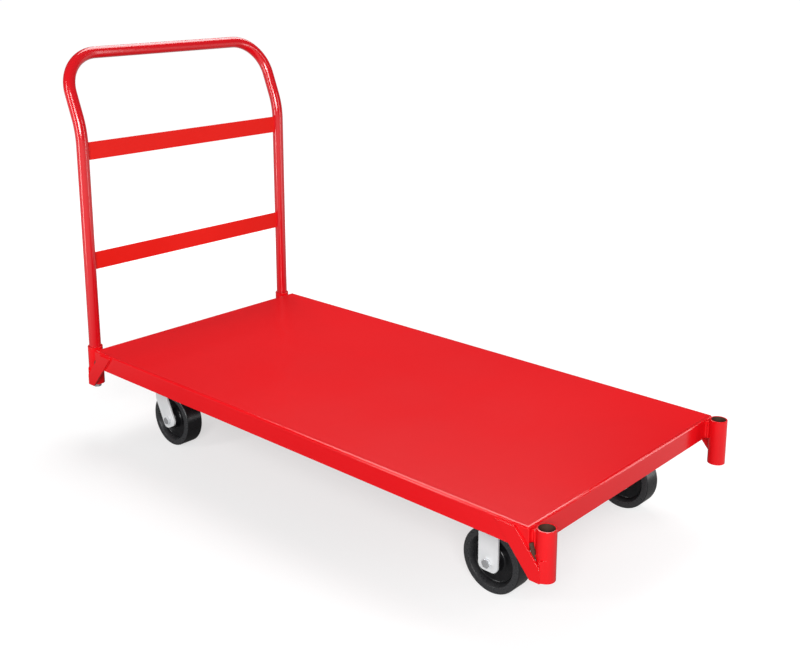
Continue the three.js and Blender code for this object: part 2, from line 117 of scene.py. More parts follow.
def piece(name, shape, body, finishes, stands_for=(), sharp=34.0):
    """Closes a shape drawn in millimetres, makes it one object and rides it on its body"""
    bmesh.ops.remove_doubles(shape, verts=shape.verts, dist=0.002)
    bmesh.ops.recalc_face_normals(shape, faces=shape.faces)
    bmesh.ops.scale(shape, vec=(0.001, 0.001, 0.001), verts=shape.verts)
    mesh = bpy.data.meshes.new(name)
    shape.to_mesh(mesh)
    shape.free()
    for material in finishes:
        mesh.materials.append(material)
    mesh.shade_smooth()
    mesh.set_sharp_from_angle(angle=math.radians(sharp))
    made = bpy.data.objects.new(name, mesh)
    bpy.context.scene.collection.objects.link(made)
    weighted = made.modifiers.new("Flat faces stay flat", "WEIGHTED_NORMAL")
    weighted.keep_sharp = True
    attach(made, body)
    if stands_for:
        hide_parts(*stands_for)
    return made


def folded_tray(low, high):
    """Rings of one folded section carried round the rectangle, square inside and eased outside"""
    shape = bmesh.new()
    steps = 8
    inner_bend = deck_bend - deck_sheet
    flat = deck_bend + 0.6
    outside, inside = [(flat, high.z)], [(flat, high.z - deck_sheet)]
    for i in range(steps + 1):
        turn = math.pi / 2 * i / steps
        across, up = math.sin(turn), math.cos(turn)
        outside.append((deck_bend * (1 - across), high.z - deck_bend * (1 - up)))
        inside.append((deck_bend - inner_bend * across, high.z - deck_bend + inner_bend * up))
    lip = [(0, low.z + deck_lip), (deck_lip, low.z), (deck_sheet - deck_lip, low.z)]
    section = outside + lip + [(deck_sheet, low.z + deck_lip)] + inside[::-1]
    middle = (low + high) / 2
    rings = []
    for inset, z in section:
        half_x = (high.x - low.x) / 2 - inset
        half_y = (high.y - low.y) / 2 - inset
        eased = max(deck_corner - inset, 0.0)
        ring = []
        for quarter in range(4):
            side_x = 1 if quarter in (0, 3) else -1
            side_y = 1 if quarter < 2 else -1
            for step in range(5):
                turn = math.pi / 2 * (quarter + step / 4)
                x = middle.x + side_x * (half_x - eased) + eased * math.cos(turn)
                y = middle.y + side_y * (half_y - eased) + eased * math.sin(turn)
                ring.append(shape.verts.new((x, y, z)))
        rings.append(ring)
    for first, second in zip(rings, rings[1:]):
        for i in range(len(first)):
            j = (i + 1) % len(first)
            shape.faces.new((first[i], first[j], second[j], second[i]))
    shape.faces.new(rings[0]).material_index = 1
    shape.faces.new(rings[-1])
    return shape


red_coat = finish(
    "red_powder_coat", [(0.80, 0.005, 0.009), (0.77, 0.004, 0.008)], patch=2.5,
    roughness=(0.13, 0.17), grain=420.0, relief=0.00001, Specular_IOR_Level=0.42)
deck_coat = finish(
    "red_deck_coat", [(0.80, 0.008, 0.012), (0.77, 0.007, 0.011)], patch=2.5,
    roughness=(0.30, 0.36), grain=420.0, relief=0.00001, Specular_IOR_Level=0.08)

piece("deck_tray", folded_tray(*span("deck_plate")), "deck_frame",
      [red_coat, deck_coat], ["deck_plate"])

# ---- Cross channels and stringers ---------------------------------------------------------------
# Formed steel channels under the deck: two lie web down across it and carry the casters, and two
# stand on their sides between them. All are brake bent, so their corners are round in and out.
channel_wall = 4.8
stringer_wall = 3.2


def rounded(points, closed=True, steps=5):
    """An outline's points, with an arc at each corner that is given as (x, y, radius)"""
    result = []
    for i, (x, y, *radius) in enumerate(points):
        here = Vector((x, y))
        if not radius or (not closed and i in (0, len(points) - 1)):
            result.append(here)
            continue
        back = (Vector(points[i - 1][:2]) - here).normalized()
        ahead = (Vector(points[(i + 1) % len(points)][:2]) - here).normalized()
        corner = back.angle(ahead)
        centre = here + (back + ahead).normalized() * radius[0] / math.sin(corner / 2)
        start = here + back * radius[0] / math.tan(corner / 2) - centre
        way = 1 if back.cross(ahead) < 0 else -1
        for step in range(steps + 1):
            turn = Matrix.Rotation(way * (math.pi - corner) * step / steps, 2)
            result.append(centre + turn @ start)
    return result


def cut_plate(outline, thickness, holes=(), edge=0.5):
    """A plate of the given outline from z = 0 up, its edges eased as a sheared or sawn edge is"""
    curve = bpy.data.curves.new("outline", "CURVE")
    curve.dimensions = "2D"
    curve.fill_mode = "BOTH"
    for loop in (outline, *holes):
        spline = curve.splines.new("POLY")
        spline.points.add(len(loop) - 1)
        for point, place in zip(spline.points, loop):
            point.co = (*place[:2], 0, 1)
        spline.use_cyclic_u = True
    curve.extrude = thickness / 2 - edge
    curve.bevel_depth = edge
    curve.bevel_resolution = 2
    curve.offset = -edge
    blank = bpy.data.objects.new("outline", curve)
    bpy.context.scene.collection.objects.link(blank)
    flat = bpy.data.meshes.new_from_object(
        blank.evaluated_get(bpy.context.evaluated_depsgraph_get()))
    shape = bmesh.new()
    shape.from_mesh(flat)
    bpy.data.objects.remove(blank)
    bpy.data.curves.remove(curve)
    bpy.data.meshes.remove(flat)
    bmesh.ops.translate(shape, vec=(0, 0, thickness / 2), verts=shape.verts)
    return shape


def placed(shape, *moves):
    """The shape after each move in turn"""
    for move in moves:
        bmesh.ops.transform(shape, matrix=move, verts=shape.verts)
    return shape


# Side view: drawn x and z, thick towards -Y. End view: drawn y and z, thick towards +X
side_view = Matrix(((1, 0, 0, 0), (0, 0, -1, 0), (0, 1, 0, 0), (0, 0, 0, 1)))
end_view = Matrix(((0, 0, 1, 0), (1, 0, 0, 0), (0, 1, 0, 0), (0, 0, 0, 1)))
shift = Matrix.Translation

for end in ("front", "rear"):
    low, high = span(f"{end}_cross_channel")
    tight, loose = 2.4, 2.4 + channel_wall
    inner = (high.x - low.x) / 2 - channel_wall
    outer = inner + channel_wall
    web = low.z + channel_wall
    section = rounded([
        (-outer, low.z, loose), (outer, low.z, loose), (outer, high.z), (inner, high.z),
        (inner, web, tight), (-inner, web, tight), (-inner, high.z), (-outer, high.z)])
    channel = placed(cut_plate(section, high.y - low.y), side_view,
                     shift(((low.x + high.x) / 2, high.y, 0)))
    piece(f"{end}_caster_channel", channel, "deck_frame", [red_coat],
          [f"{end}_cross_channel"])

for hand, way in (("left", 1), ("right", -1)):
    low, high = span(f"{hand}_stringer")
    web, lip = (low.y, high.y) if way > 0 else (high.y, low.y)
    inside = web + way * stringer_wall
    tight, loose = 1.6, 1.6 + stringer_wall
    section = rounded([
        (web, low.z, loose), (lip, low.z), (lip, low.z + stringer_wall),
        (inside, low.z + stringer_wall, tight), (inside, high.z - stringer_wall, tight),
        (lip, high.z - stringer_wall), (lip, high.z), (web, high.z, loose)])
    rail = placed(cut_plate(section, high.x - low.x), end_view, shift((low.x, 0, 0)))
    piece(f"{hand}_deck_stringer", rail, "deck_frame", [red_coat],
          [f"{hand}_stringer"])

# ---- Caster pads --------------------------------------------------------------------------------
# Quarter inch plates welded under the ends of the cross channels, drilled to take the caster
# plates. Their corners are clipped round, and they are painted with the deck.
bolt_span = (92.1, 66.7)
bolt_hole = 10.4
corners = [(end, hand) for end in ("front", "rear") for hand in ("left", "right")]


def circle(radius, facets, x=0.0, y=0.0):
    turns = [math.tau * i / facets for i in range(facets)]
    return [(x + radius * math.cos(turn), y + radius * math.sin(turn)) for turn in turns]


def bolted_plate(length, width, corner, thickness, edge):
    """A plate with the four caster bolt holes in it"""
    x, y = length / 2, width / 2
    outline = rounded([(-x, -y, corner), (x, -y, corner), (x, y, corner), (-x, y, corner)])
    holes = [circle(bolt_hole / 2, 20, side_x * bolt_span[0] / 2, side_y * bolt_span[1] / 2)
             for side_x in (-1, 1) for side_y in (-1, 1)]
    return cut_plate(outline, thickness, holes, edge)


for end, hand in corners:
    low, high = span(f"{end}_{hand}_caster_pad")
    middle = (low + high) / 2
    pad = bolted_plate(high.x - low.x, high.y - low.y, 9, high.z - low.z, 0.7)
    piece(f"{end}_{hand}_bolting_pad", placed(pad, shift((middle.x, middle.y, low.z))),
          "deck_frame", [red_coat], [f"{end}_{hand}_caster_pad"])

# ---- Corner sockets -----------------------------------------------------------------------------
# Lengths of 1 1/4 inch pipe with a pierced disc welded in the foot, standing off each end of the
# deck. They are painted outside, and the bore is left as dark bare steel with a brown bloom.
socket_wall = 3.575
socket_base = 4.8
socket_rim = 0.9
socket_bolt_hole = 7.15
# The same dark brown also fills the corner gaps beside the sockets, where it is painted shade.
bare_steel = finish(
    "bare_brown_steel", [(0.090, 0.042, 0.026), (0.070, 0.034, 0.022)], patch=60.0,
    roughness=(0.55, 0.8), grain=900.0, relief=0.0001, Metallic=0.25)


def turned(profile, facets, closed=True):
    """A profile of (radius, height, finish number) turned about Z; the number is optional"""
    shape = bmesh.new()
    rings = []
    for radius, height, *_ in profile:
        if radius < 0.001:
            rings.append([shape.verts.new((0, 0, height))] * facets)
        else:
            rings.append([shape.verts.new((x, y, height)) for x, y in circle(radius, facets)])
    for band in range(len(rings) if closed else len(rings) - 1):
        first, second = rings[band], rings[(band + 1) % len(rings)]
        for i in range(facets):
            j = (i + 1) % facets
            around = tuple(dict.fromkeys((first[i], first[j], second[j], second[i])))
            face = shape.faces.new(around)
            face.material_index = profile[band][2] if len(profile[band]) > 2 else 0
    return shape


for end, hand in corners:
    low, high = span(f"{end}_{hand}_socket")
    middle = (low + high) / 2
    outer = (high.x - low.x) / 2
    bore = outer - socket_wall
    seat = low.z + socket_base
    pipe = turned([
        (socket_bolt_hole, low.z + 1), (bore - 0.5, low.z + 1), (bore + 0.5, low.z),
        (outer - 0.5, low.z), (outer - 0.15, low.z + 0.15), (outer, low.z + 0.5),
        (outer, high.z - socket_rim), (outer - 0.3, high.z - 0.3), (outer - socket_rim, high.z),
        (bore + 0.5, high.z), (bore, high.z - 0.5, 1), (bore, seat, 1),
        (socket_bolt_hole, seat, 1)], 64)
    piece(f"{end}_{hand}_socket_pipe", placed(pipe, shift((middle.x, middle.y, 0))),
          "deck_frame", [red_coat, bare_steel], [f"{end}_{hand}_socket"])

# ---- Socket spacers and gusset straps -----------------------------------------------------------
# A short flat bar holds each socket off the end apron, and a flat strap runs down the side apron
# and out to the socket's foot. Both are sheared bar, painted with the deck.
strap_width = 38.1
strap_past_axis = 4.0
deck_low, deck_high = span("deck_plate")

for end, hand in corners:
    low, high = span(f"{end}_{hand}_socket_spacer")
    outline = rounded([(low.y, low.z, 1), (high.y, low.z, 1), (high.y, high.z, 1),
                       (low.y, high.z, 1)], steps=3)
    bar = placed(cut_plate(outline, high.x - low.x), end_view, shift((low.x, 0, 0)))
    piece(f"{end}_{hand}_spacer_bar", bar, "deck_frame", [red_coat],
          [f"{end}_{hand}_socket_spacer"])

    low, high = span(f"{end}_{hand}_gusset")
    socket_low, socket_high = span(f"{end}_{hand}_socket")
    way = 1 if end == "front" else -1
    upper = low.x if way > 0 else high.x
    foot = socket_low.x if way > 0 else socket_high.x
    outer = high.x if way > 0 else low.x
    slope = math.atan2(high.z - low.z, abs(foot - upper))
    top_end = upper + way * strap_width / math.sin(slope)
    outer_z = high.z - abs(outer - top_end) * math.tan(slope)
    outline = [(upper, high.z, 1), (foot, low.z, 2), (outer, low.z, 2), (outer, outer_z, 1),
               (top_end, high.z, 1)]
    strap = placed(cut_plate(rounded(outline[::way]), high.y - low.y, edge=0.6), side_view,
                   shift((0, high.y, 0)))
    piece(f"{end}_{hand}_gusset_strap", strap, "deck_frame", [red_coat],
          [f"{end}_{hand}_gusset"])

# ---- Weld beads on the deck ---------------------------------------------------------------------
# Every joint of the deck frame is held by a hand laid bead, with the ripples that the torch leaves,
# painted over with the rest. Where a strap meets its socket the weld is ground to a smooth slope.
# A dark bare-steel bead fills the gap between the strap, the deck's corner and the socket: painted
# shade, standing for the dark hollow there.


def weld_tree():
    """Draws each line of edges as a rippled bead"""
    tree = bpy.data.node_groups.new("weld_bead", "GeometryNodeTree")
    face = tree.interface
    face.new_socket("Lines", in_out="INPUT", socket_type="NodeSocketGeometry")
    for label, value in (("Bead width", 6.0), ("Ripple pitch", 3.2), ("Ripple height", 0.16),
                         ("Wander", 0.5)):
        face.new_socket(label, in_out="INPUT", socket_type="NodeSocketFloat").default_value = value
    face.new_socket("Seed", in_out="INPUT", socket_type="NodeSocketInt").default_value = 1
    face.new_socket("Finish", in_out="INPUT", socket_type="NodeSocketMaterial")
    face.new_socket("Beads", in_out="OUTPUT", socket_type="NodeSocketGeometry")
    nodes, links = tree.nodes, tree.links
    given, made = nodes.new("NodeGroupInput"), nodes.new("NodeGroupOutput")

    def sum_up(operation, first, second=None):
        node = nodes.new("ShaderNodeMath")
        node.operation = operation
        for socket, value in zip(node.inputs, (first, second)):
            if isinstance(value, (int, float)):
                socket.default_value = value
            elif value is not None:
                links.new(value, socket)
        return node.outputs["Value"]

    lines = nodes.new("GeometryNodeMeshToCurve")
    links.new(given.outputs["Lines"], lines.inputs["Mesh"])
    even = nodes.new("GeometryNodeResampleCurve")
    even.mode = "LENGTH"
    even.inputs["Length"].default_value = 0.8
    links.new(lines.outputs["Curve"], even.inputs["Curve"])
    along = nodes.new("GeometryNodeSplineParameter").outputs["Length"]
    phase = sum_up("MULTIPLY", sum_up("DIVIDE", along, given.outputs["Ripple pitch"]), math.pi)
    crest = sum_up("ABSOLUTE", sum_up("SINE", phase))
    ripple = sum_up("ADD", sum_up("MULTIPLY", crest, given.outputs["Ripple height"]), 0.9)

    drift = nodes.new("ShaderNodeTexNoise")
    drift.noise_dimensions = "4D"
    drift.inputs["Scale"].default_value = 0.12
    links.new(given.outputs["Seed"], drift.inputs["W"])
    centred = nodes.new("ShaderNodeVectorMath")
    centred.operation = "SUBTRACT"
    centred.inputs[1].default_value = (0.5, 0.5, 0.5)
    links.new(drift.outputs["Color"], centred.inputs[0])
    sway = nodes.new("ShaderNodeVectorMath")
    sway.operation = "SCALE"
    links.new(centred.outputs["Vector"], sway.inputs[0])
    links.new(given.outputs["Wander"], sway.inputs["Scale"])
    swayed = nodes.new("GeometryNodeSetPosition")
    links.new(even.outputs["Curve"], swayed.inputs["Geometry"])
    links.new(sway.outputs["Vector"], swayed.inputs["Offset"])

    ring = nodes.new("GeometryNodeCurvePrimitiveCircle")
    ring.inputs["Resolution"].default_value = 9
    links.new(sum_up("DIVIDE", given.outputs["Bead width"], 2.0), ring.inputs["Radius"])
    radius = nodes.new("GeometryNodeSetCurveRadius")
    links.new(swayed.outputs["Geometry"], radius.inputs["Curve"])
    links.new(ripple, radius.inputs["Radius"])
    bead = nodes.new("GeometryNodeCurveToMesh")
    bead.inputs["Fill Caps"].default_value = True
    links.new(radius.outputs["Curve"], bead.inputs["Curve"])
    links.new(ring.outputs["Curve"], bead.inputs["Profile Curve"])
    if "Scale" in bead.inputs:
        links.new(ripple, bead.inputs["Scale"])
    plain = nodes.new("GeometryNodeRealizeInstances")
    links.new(bead.outputs["Mesh"], plain.inputs["Geometry"])
    coated = nodes.new("GeometryNodeSetMaterial")
    links.new(plain.outputs["Geometry"], coated.inputs["Geometry"])
    links.new(given.outputs["Finish"], coated.inputs["Material"])
    links.new(coated.outputs["Geometry"], made.inputs["Beads"])
    return tree


def grown(tree, points, edges, **settings):
    """The plain mesh that a tree grows on the given points and edges, as a shape"""
    base = bpy.data.meshes.new("base")
    base.from_pydata([tuple(point) for point in points], edges, [])
    carrier = bpy.data.objects.new("base", base)
    bpy.context.scene.collection.objects.link(carrier)
    for label, values in settings.pop("attributes", {}).items():
        base.attributes.new(label, "FLOAT", "POINT").data.foreach_set("value", values)
    modifier = carrier.modifiers.new("grow", "NODES")
    modifier.node_group = tree
    for item in tree.interface.items_tree:
        key = item.name.replace(" ", "_")
        if item.in_out == "INPUT" and key in settings:
            modifier[item.identifier] = settings[key]
    plain = bpy.data.meshes.new_from_object(
        carrier.evaluated_get(bpy.context.evaluated_depsgraph_get()))
    carrier.modifiers.remove(modifier)
    shape = bmesh.new()
    shape.from_mesh(plain)
    bpy.data.objects.remove(carrier)
    bpy.data.meshes.remove(plain)
    bpy.data.meshes.remove(base)
    return shape


def beads(lines, **settings):
    """Rippled beads along lists of points"""
    points, edges = [], []
    for line in lines:
        edges += [(len(points) + i, len(points) + i + 1) for i in range(len(line) - 1)]
        points += line
    return grown(bead_tree, points, edges, **settings)


def joined(*shapes):
    """Several shapes as one"""
    whole = bmesh.new()
    for shape in shapes:
        scrap = bpy.data.meshes.new("scrap")
        shape.to_mesh(scrap)
        shape.free()
        whole.from_mesh(scrap)
        bpy.data.meshes.remove(scrap)
    return whole


bead_tree = weld_tree()
corner_lines, pad_lines = [], []
for end, hand in corners:
    way = 1 if end == "front" else -1
    side = 1 if hand == "left" else -1
    low, high = span(f"{end}_{hand}_socket_spacer")
    apron = deck_high.x if way > 0 else deck_low.x
    far = high.x if way > 0 else low.x
    for y in (low.y, high.y):
        corner_lines.append([(apron + way * 0.6, y, low.z + 4), (apron + way * 0.6, y, high.z - 1)])
        corner_lines.append([(far + way * 0.4, y, low.z + 2), (far + way * 0.4, y, high.z - 1)])

    low, high = span(f"{end}_{hand}_gusset")
    socket_low, socket_high = span(f"{end}_{hand}_socket")
    face = deck_high.y if side > 0 else deck_low.y
    near = face + side * 0.5
    upper = low.x if way > 0 else high.x
    foot = socket_low.x if way > 0 else socket_high.x
    slope = math.atan2(high.z - low.z, abs(foot - upper))
    top_end = upper + way * strap_width / math.sin(slope)

    def on_edge(start, drop):
        """A point on one sloping edge of the strap, so far below its top"""
        return start + way * drop / math.tan(slope), high.z - drop

    corner_lines.append([(upper, near, high.z + 0.4), (top_end - way * 3, near, high.z + 0.2)])
    edge_x, edge_z = on_edge(upper, high.z - deck_low.z - 2)
    corner_lines.append([(upper, near, high.z - 1), (edge_x, near, edge_z)])
    corner_lines.append([(top_end, near, high.z - 1), (apron - way * 3, near,
                         high.z - abs(apron - way * 3 - top_end) * math.tan(slope))])
    middle_y = (socket_low.y + socket_high.y) / 2
    reach = (socket_high.x - socket_low.x) / 2
    axis_x = (socket_low.x + socket_high.x) / 2
    ends = []
    for x, z in (on_edge(top_end, 44), on_edge(top_end, 52)):
        out = math.sqrt(max(reach ** 2 - (x - axis_x) ** 2, 0))
        ends.append((x, middle_y + side * (out + 0.6), z))
    corner_lines.append(ends)
    corner_lines.append([(axis_x + way * 2, face + side * 2, low.z + 1.2),
                         (foot + way * 4, face + side * 0.5, low.z + 1.2)])
    inner_y = low.y if side > 0 else high.y
    corner_lines.append([(foot - way * 0.6, inner_y - side * 4, deck_low.z - 5),
                         (foot - way * 0.2, inner_y - side * 3, low.z + 6)])

    low, high = span(f"{end}_{hand}_caster_pad")
    channel_low, channel_high = span(f"{end}_cross_channel")
    for x in (channel_low.x + 1.5, channel_high.x - 1.5):
        pad_lines.append([(x, low.y + 6, high.z + 0.3), (x, high.y - 6, high.z + 0.3)])

for end in ("front", "rear"):
    low, high = span(f"{end}_cross_channel")
    for x in (low.x - 0.4, high.x + 0.4):
        for y in range(-300, 301, 150):
            pad_lines.append([(x, y - 20, high.z - 2.6), (x, y + 20, high.z - 2.6)])
for hand in ("left", "right"):
    low, high = span(f"{hand}_stringer")
    for x in range(int(low.x) + 60, int(high.x) - 60, 190):
        for y in (low.y - 0.3, high.y + 0.3):
            pad_lines.append([(x - 20, y, high.z - 2.6), (x + 20, y, high.z - 2.6)])

wedge_steps, wedge_sink, wedge_foot, wedge_short = 6, 0.97, 0.8, 9
ground_welds, painted_shade_filler_lines = [], []
for end, hand in corners:
    way = 1 if end == "front" else -1
    side = 1 if hand == "left" else -1
    low, high = span(f"{end}_{hand}_gusset")
    socket_low, socket_high = span(f"{end}_{hand}_socket")
    axis = (socket_low + socket_high) / 2
    reach = (socket_high.x - socket_low.x) / 2
    across = (high.y if side > 0 else low.y) - 0.4 * side - axis.y
    along = strap_past_axis - 1.5
    upper = low.x if way > 0 else high.x
    foot = socket_low.x if way > 0 else socket_high.x
    slope = math.atan2(high.z - low.z, abs(foot - upper))
    lean = math.atan2(abs(across), along)
    meet = lean - math.acos(reach / math.hypot(along, across))
    wedge = [(along, abs(across))]
    for step in range(wedge_steps + 1):
        turn = meet + (lean - meet) * step / wedge_steps
        radius = reach * wedge_sink if step else reach
        wedge.append((radius * math.cos(turn), radius * math.sin(turn)))
    wedge = [(x * way, y * side) for x, y in wedge]
    rise = strap_width / math.cos(slope) - wedge_short
    ground_welds.append(placed(cut_plate(wedge[::-way * side], rise, edge=0.4),
                               shift((axis.x, axis.y, low.z + wedge_foot))))
    corner_x = deck_high.x if way > 0 else deck_low.x
    inner_y = low.y if side > 0 else high.y
    # Painted shade: a dark bead laid in each corner gap, where there is only a shadowed hollow.
    painted_shade_filler_lines.append([(corner_x + way * 2, inner_y - side * 6.0, deck_low.z + 18),
                          (corner_x + way * 7, inner_y - side * 6.0, deck_low.z + 2),
                          (corner_x + way * 10, inner_y - side * 4.5, deck_low.z - 14)])
piece("ground_socket_welds", joined(*ground_welds), "deck_frame", [red_coat])
# The dark corner-gap beads are painted shade, not real welds seen in the gap.
piece("bare_crevice_welds", beads(painted_shade_filler_lines, Bead_width=10.0, Seed=21, Finish=bare_steel),
      "deck_frame", [bare_steel])
piece("socket_weld_beads", beads(corner_lines, Bead_width=5.2, Seed=3, Finish=red_coat),
      "deck_frame", [red_coat])
piece("underframe_weld_beads", beads(pad_lines, Bead_width=5.0, Ripple_pitch=3.6, Seed=8,
                                     Finish=red_coat), "deck_frame", [red_coat])

# ---- Push handle tube ---------------------------------------------------------------------------
# One length of 1 inch pipe: two upright posts, a long bend back at the top of each and two tight
# bends into the top bar. The posts drop into the rear sockets, and the foot ends are sawn square.
tube_radius = 16.7
tube_wall = 3.4
back_bend_radius = 216.0
back_bend_start = 834.0
back_bend_angle = math.radians(21.9)
corner_bend_radius = 110.0


def pipe_tree():
    """Bends a line of straight runs at each corner by its own radius, and makes it round"""
    tree = bpy.data.node_groups.new("bent_pipe", "GeometryNodeTree")
    face = tree.interface
    face.new_socket("Line", in_out="INPUT", socket_type="NodeSocketGeometry")
    face.new_socket("Pipe radius", in_out="INPUT", socket_type="NodeSocketFloat")
    face.new_socket("Facets", in_out="INPUT", socket_type="NodeSocketInt").default_value = 56
    face.new_socket("Finish", in_out="INPUT", socket_type="NodeSocketMaterial")
    face.new_socket("Pipe", in_out="OUTPUT", socket_type="NodeSocketGeometry")
    nodes, links = tree.nodes, tree.links
    given, made = nodes.new("NodeGroupInput"), nodes.new("NodeGroupOutput")
    line = nodes.new("GeometryNodeMeshToCurve")
    links.new(given.outputs["Line"], line.inputs["Mesh"])
    bend = nodes.new("GeometryNodeInputNamedAttribute")
    bend.data_type = "FLOAT"
    bend.inputs["Name"].default_value = "bend"
    fillet = nodes.new("GeometryNodeFilletCurve")
    fillet.mode = "POLY"
    fillet.inputs["Count"].default_value = 18
    links.new(line.outputs["Curve"], fillet.inputs["Curve"])
    links.new(bend.outputs["Attribute"], fillet.inputs["Radius"])
    ring = nodes.new("GeometryNodeCurvePrimitiveCircle")
    links.new(given.outputs["Facets"], ring.inputs["Resolution"])
    links.new(given.outputs["Pipe radius"], ring.inputs["Radius"])
    skin = nodes.new("GeometryNodeCurveToMesh")
    links.new(fillet.outputs["Curve"], skin.inputs["Curve"])
    links.new(ring.outputs["Curve"], skin.inputs["Profile Curve"])
    plain = nodes.new("GeometryNodeRealizeInstances")
    links.new(skin.outputs["Mesh"], plain.inputs["Geometry"])
    coated = nodes.new("GeometryNodeSetMaterial")
    links.new(plain.outputs["Geometry"], coated.inputs["Geometry"])
    links.new(given.outputs["Finish"], coated.inputs["Material"])
    links.new(coated.outputs["Geometry"], made.inputs["Pipe"])
    return tree


tube_low, tube_high = span("handle_tube")
socket_low, socket_high = span("rear_left_socket")
post_x = (socket_low.x + socket_high.x) / 2
post_y = tube_high.y - tube_radius
bend_vertex = back_bend_start + back_bend_radius * math.tan(back_bend_angle / 2)
bar_z = tube_high.z - tube_radius
bar_x = post_x - (bar_z - bend_vertex) * math.tan(back_bend_angle)
run = [(post_x, -post_y, tube_low.z), (post_x, -post_y, bend_vertex), (bar_x, -post_y, bar_z),
       (bar_x, post_y, bar_z), (post_x, post_y, bend_vertex), (post_x, post_y, tube_low.z)]
bends = [0, back_bend_radius, corner_bend_radius, corner_bend_radius, back_bend_radius, 0]
runs = [(i, i + 1) for i in range(len(run) - 1)]
pipe_group = pipe_tree()
walls = [grown(pipe_group, run, runs, Pipe_radius=radius, Finish=red_coat,
               attributes={"bend": bends}) for radius in (tube_radius, tube_radius - tube_wall)]
for face in walls[1].faces:
    face.material_index = 1
handle = joined(*walls)
open_edges = [edge for edge in handle.edges if edge.is_boundary]
for side in (1, -1):
    foot = [edge for edge in open_edges if edge.verts[0].co.y * side > 0]
    bmesh.ops.bridge_loops(handle, edges=foot)
tube_coat = finish(
    "red_tube_coat", [(0.66, 0.004, 0.010), (0.63, 0.004, 0.009)], patch=3.0,
    roughness=(0.15, 0.18), grain=420.0, relief=0.00001, Specular_IOR_Level=0.85)
piece("push_handle_tube", handle, "handle", [tube_coat, bare_steel],
      ["handle_tube"])

# ---- Crossbars ----------------------------------------------------------------------------------
# Two flat bars, 50 by 5 mm, stand on edge between the posts, butted to the pipe and welded down
# both faces of each end. Their coat is flatter and a little more orange than the pipe's.
bar_coat = finish(
    "red_bar_coat", [(0.82, 0.010, 0.004), (0.79, 0.008, 0.003)], patch=3.0,
    roughness=(0.42, 0.50), grain=420.0, relief=0.00001, Specular_IOR_Level=0.2)
for level in ("lower", "upper"):
    low, high = span(f"{level}_crossbar")
    outline = rounded([(low.y, low.z, 0.8), (high.y, low.z, 0.8), (high.y, high.z, 0.8),
                       (low.y, high.z, 0.8)], steps=2)
    bar = placed(cut_plate(outline, high.x - low.x, edge=0.8), end_view, shift((low.x, 0, 0)))
    piece(f"{level}_flat_crossbar", bar, "handle", [bar_coat],
          [f"{level}_crossbar"])

bar_lines = []
for level in ("lower", "upper"):
    low, high = span(f"{level}_crossbar")
    for y in (low.y, high.y):
        for x in (low.x + 0.3, high.x - 0.3):
            bar_lines.append([(x, y, low.z + 1.5), (x, y, high.z - 1.5)])
        for z in (low.z - 0.2, high.z + 0.2):
            bar_lines.append([(low.x + 1, y, z), (high.x - 1, y, z)])
bar_beads = beads(bar_lines, Bead_width=3.6, Ripple_pitch=2.6, Wander=0.3, Seed=5,
                  Finish=red_coat)
piece("crossbar_weld_beads", bar_beads, "handle", [red_coat])

# ---- Caster forks -------------------------------------------------------------------------------
# Pressed quarter inch steel, bright zinc plated. The rigid pair is a U of two straight legs welded
# to a drilled plate; the swivel pair has raked legs on a round crown that turns under its plate.
leg_thickness = 6.35
leg_edge = 1.0
plate_thickness = 6.35
foot_corner = 16.0
axle_hole = 6.8
zinc = finish(
    "bright_zinc_plate", [(0.84, 0.85, 0.86), (0.78, 0.80, 0.81)], patch=30.0,
    roughness=(0.32, 0.42), grain=700.0, relief=0.00002, Metallic=0.15)
fork_lines = []
for hand in ("left", "right"):
    low, high = span(f"front_{hand}_fork")
    wheel_low, wheel_high = span(f"front_{hand}_wheel")
    middle = (wheel_low + wheel_high) / 2
    under = high.z - plate_thickness
    plate = placed(bolted_plate(high.x - low.x, high.y - low.y, 9, plate_thickness, 0.8),
                   shift((middle.x, middle.y, under)))
    half, shoulder, wide = 26.5, under - 34, 38.4
    outline = rounded([
        (-half, low.z, foot_corner), (half, low.z, foot_corner), (half, shoulder, 30),
        (wide, under + 1), (-wide, under + 1), (-half, shoulder, 30)], steps=8)
    leg_shapes = [plate]
    gap = span(f"front_{hand}_spanner_sleeve")
    for way in (-1, 1):
        inner = (gap[1].y - gap[0].y) / 2 + 0.3
        face_y = middle.y + (inner + leg_thickness if way > 0 else -inner)
        leg_shapes.append(placed(
            cut_plate(outline, leg_thickness, [circle(axle_hole, 24, 0, middle.z)], leg_edge),
            side_view, shift((middle.x, face_y, 0))))
        for y in (face_y - 0.2, face_y - leg_thickness + 0.2):
            fork_lines.append([(middle.x - wide + 4, y, under + 0.2),
                               (middle.x + wide - 4, y, under + 0.2)])
    piece(f"front_{hand}_rigid_fork", joined(*leg_shapes), "deck_frame", [zinc],
          [f"front_{hand}_fork"])
piece("rigid_fork_weld_beads", beads(fork_lines, Bead_width=4.6, Seed=11, Finish=zinc),
      "deck_frame", [zinc])

